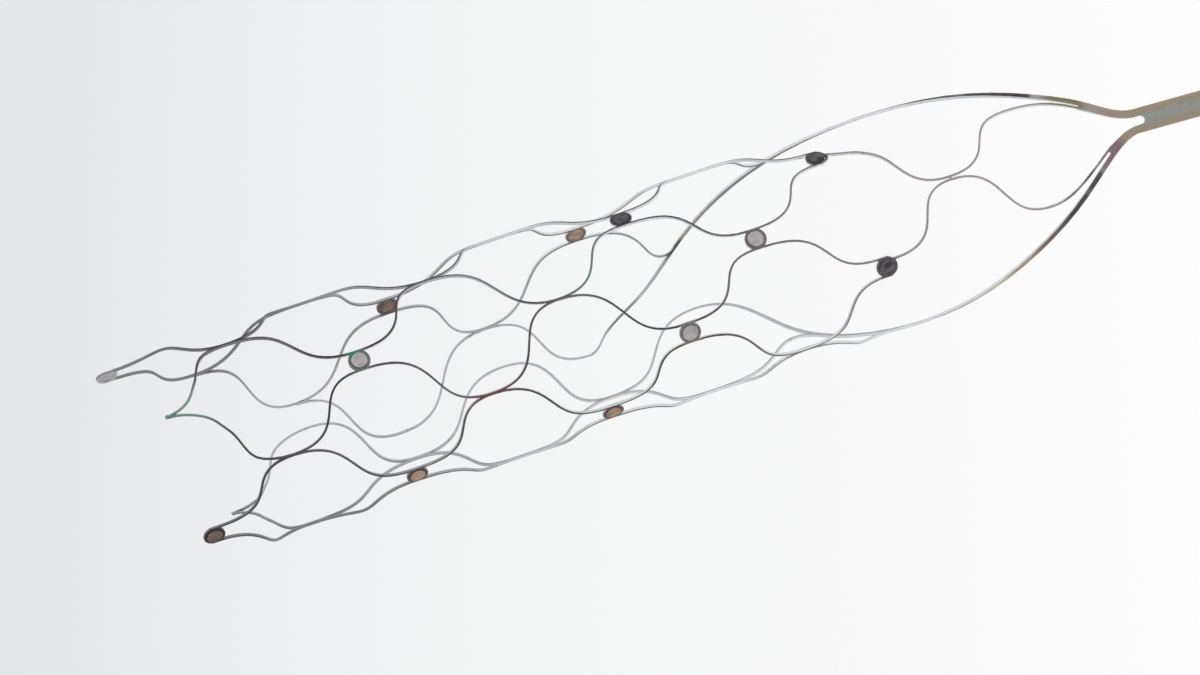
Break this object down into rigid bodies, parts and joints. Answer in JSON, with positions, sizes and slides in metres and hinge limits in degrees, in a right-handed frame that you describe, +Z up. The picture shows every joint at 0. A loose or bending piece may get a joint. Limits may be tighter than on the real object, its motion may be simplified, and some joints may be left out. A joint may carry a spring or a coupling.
{
  "type": "vascular stent",
  "caption": "Self-expanding laser-cut mesh tube with a slanted open mouth, a flat stem and round radiopaque discs, for opening a vessel or holding a clot.",
  "frame": {"origin": "middle of the stem's end face, where a delivery wire takes hold", "axes": "+X along the tube from the loose tips to the stem; +Z up, with the stem on the tube's upper side and the slit on its underside, as the stem holds it in the picture"},
  "size_m": [0.0331, 0.006, 0.0061],
  "materials": {
    "nitinol": "laser-cut nitinol, electropolished edges under a thin dark heat-tint oxide",
    "marker_metal": "pressed radiopaque metal disc, satin, slightly crowned"
  },
  "bodies": {
    "root": {"stent_mesh": "nitinol", "marker_01": "marker_metal", "marker_02": "marker_metal", "marker_03": "marker_metal", "marker_04": "marker_metal", "marker_05": "marker_metal", "marker_06": "marker_metal", "marker_07": "marker_metal", "marker_08": "marker_metal", "marker_09": "marker_metal", "marker_10": "marker_metal", "marker_11": "marker_metal", "marker_12": "marker_metal"}
  },
  "joints": []
}
